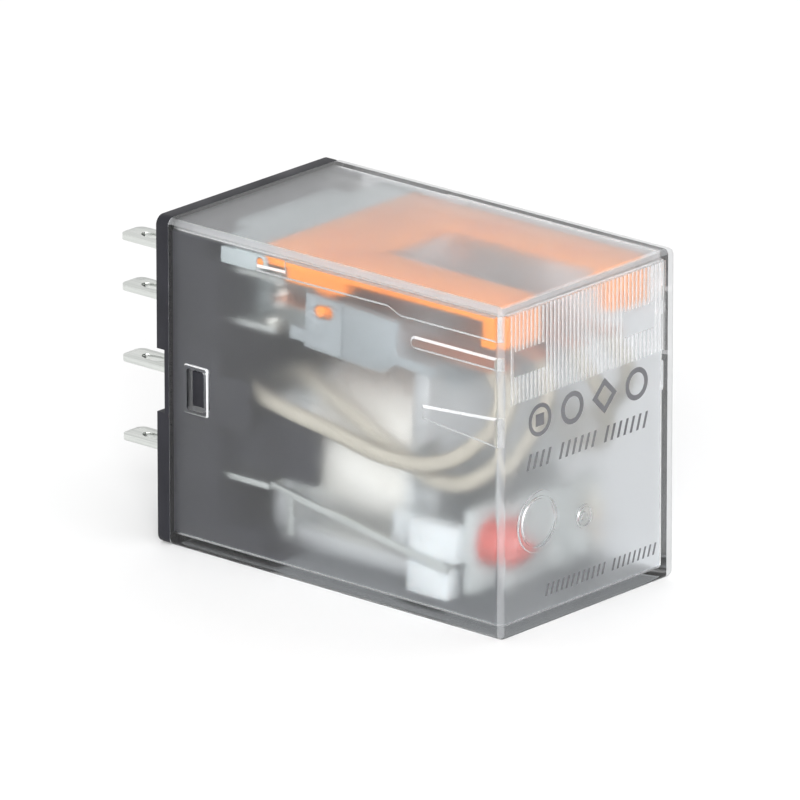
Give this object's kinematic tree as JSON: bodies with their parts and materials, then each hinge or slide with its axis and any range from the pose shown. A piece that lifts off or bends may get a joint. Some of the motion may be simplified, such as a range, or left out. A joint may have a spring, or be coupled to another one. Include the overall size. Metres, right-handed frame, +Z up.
{
  "type": "industrial control relay",
  "caption": "plug-in miniature power relay with a clear dust cover, flat blade terminals on a black base, and a sprung armature that moves changeover contacts and an indicator",
  "frame": {"origin": "centre of the overall box on the surface it lies on, the bottom of the narrow side", "axes": "+X from the terminals to the labelled front face, +Y across the four poles, +Z up from the coil side to the contact side"},
  "size_m": [0.0428, 0.021, 0.0275],
  "materials": {
    "clear_cover": "clear moulded cover, slightly frosted inside",
    "charcoal_base": "fine matt charcoal moulding",
    "tinned_blade": "tin-plated strip, satin",
    "contact_silver": "silver alloy, satin",
    "spring_copper": "copper alloy strip",
    "spring_steel": "bright spring strip",
    "magnet_steel": "zinc-plated soft iron",
    "white_bobbin": "white moulding",
    "magnet_wire": "enamelled winding wire",
    "coil_tape": "glossy insulating tape",
    "light_grey_moulding": "light grey moulding",
    "grey_card": "blue-grey moulding",
    "orange_indicator": "bright orange moulding",
    "lead_sleeve": "cream woven sleeve",
    "circuit_board": "pale laminate board",
    "red_lens": "red moulded lens",
    "resistor_body": "lacquered ceramic"
  },
  "bodies": {
    "root": {"cover": "clear_cover", "base": "charcoal_base", "yoke": "magnet_steel", "core": "magnet_steel", "shading_ring": "spring_copper", "bobbin": "white_bobbin", "coil_winding": "magnet_wire", "coil_tape": "coil_tape", "return_spring": "spring_steel", "contact_barrier": "light_grey_moulding", "led_board": "circuit_board", "led": "red_lens", "resistor": "resistor_body", "coil_terminal_1": "tinned_blade", "coil_terminal_2": "tinned_blade", "coil_lead_1": "tinned_blade", "coil_lead_2": "tinned_blade", "nc_terminal_1": "tinned_blade", "nc_terminal_2": "tinned_blade", "nc_terminal_3": "tinned_blade", "nc_terminal_4": "tinned_blade", "no_terminal_1": "tinned_blade", "no_terminal_2": "tinned_blade", "no_terminal_3": "tinned_blade", "no_terminal_4": "tinned_blade", "com_terminal_1": "tinned_blade", "com_terminal_2": "tinned_blade", "com_terminal_3": "tinned_blade", "com_terminal_4": "tinned_blade", "nc_contact_1": "contact_silver", "nc_contact_2": "contact_silver", "nc_contact_3": "contact_silver", "nc_contact_4": "contact_silver", "no_contact_1": "contact_silver", "no_contact_2": "contact_silver", "no_contact_3": "contact_silver", "no_contact_4": "contact_silver", "flexible_lead_1": "lead_sleeve", "flexible_lead_2": "lead_sleeve", "flexible_lead_3": "lead_sleeve", "flexible_lead_4": "lead_sleeve"},
    "armature_assembly": {"armature": "magnet_steel", "contact_card": "grey_card", "moving_spring_1": "spring_copper", "moving_spring_2": "spring_copper", "moving_spring_3": "spring_copper", "moving_spring_4": "spring_copper", "moving_contact_1": "contact_silver", "moving_contact_2": "contact_silver", "moving_contact_3": "contact_silver", "moving_contact_4": "contact_silver"},
    "indicator": {"indicator_fork": "orange_indicator"}
  },
  "joints": [
    {"name": "armature_hinge", "type": "hinge", "parent": "root", "child": "armature_assembly", "pos_m": [0.0095, 0, 0.00235], "axis": [0, -1, 0], "range_deg": [0, 3], "stiffness_Nm_per_rad": 0.02, "springref_deg": -8.59, "deforming": ["flexible_lead_1", "flexible_lead_2", "flexible_lead_3", "flexible_lead_4"]},
    {"name": "indicator_pivot", "type": "hinge", "parent": "root", "child": "indicator", "pos_m": [-0.00455, 0, 0.02562], "axis": [0, 1, 0], "range_deg": [0, 3.95]}
  ],
  "couplings": [
    {"joint": "indicator_pivot", "follows": "armature_hinge", "ratio": 1.31}
  ]
}
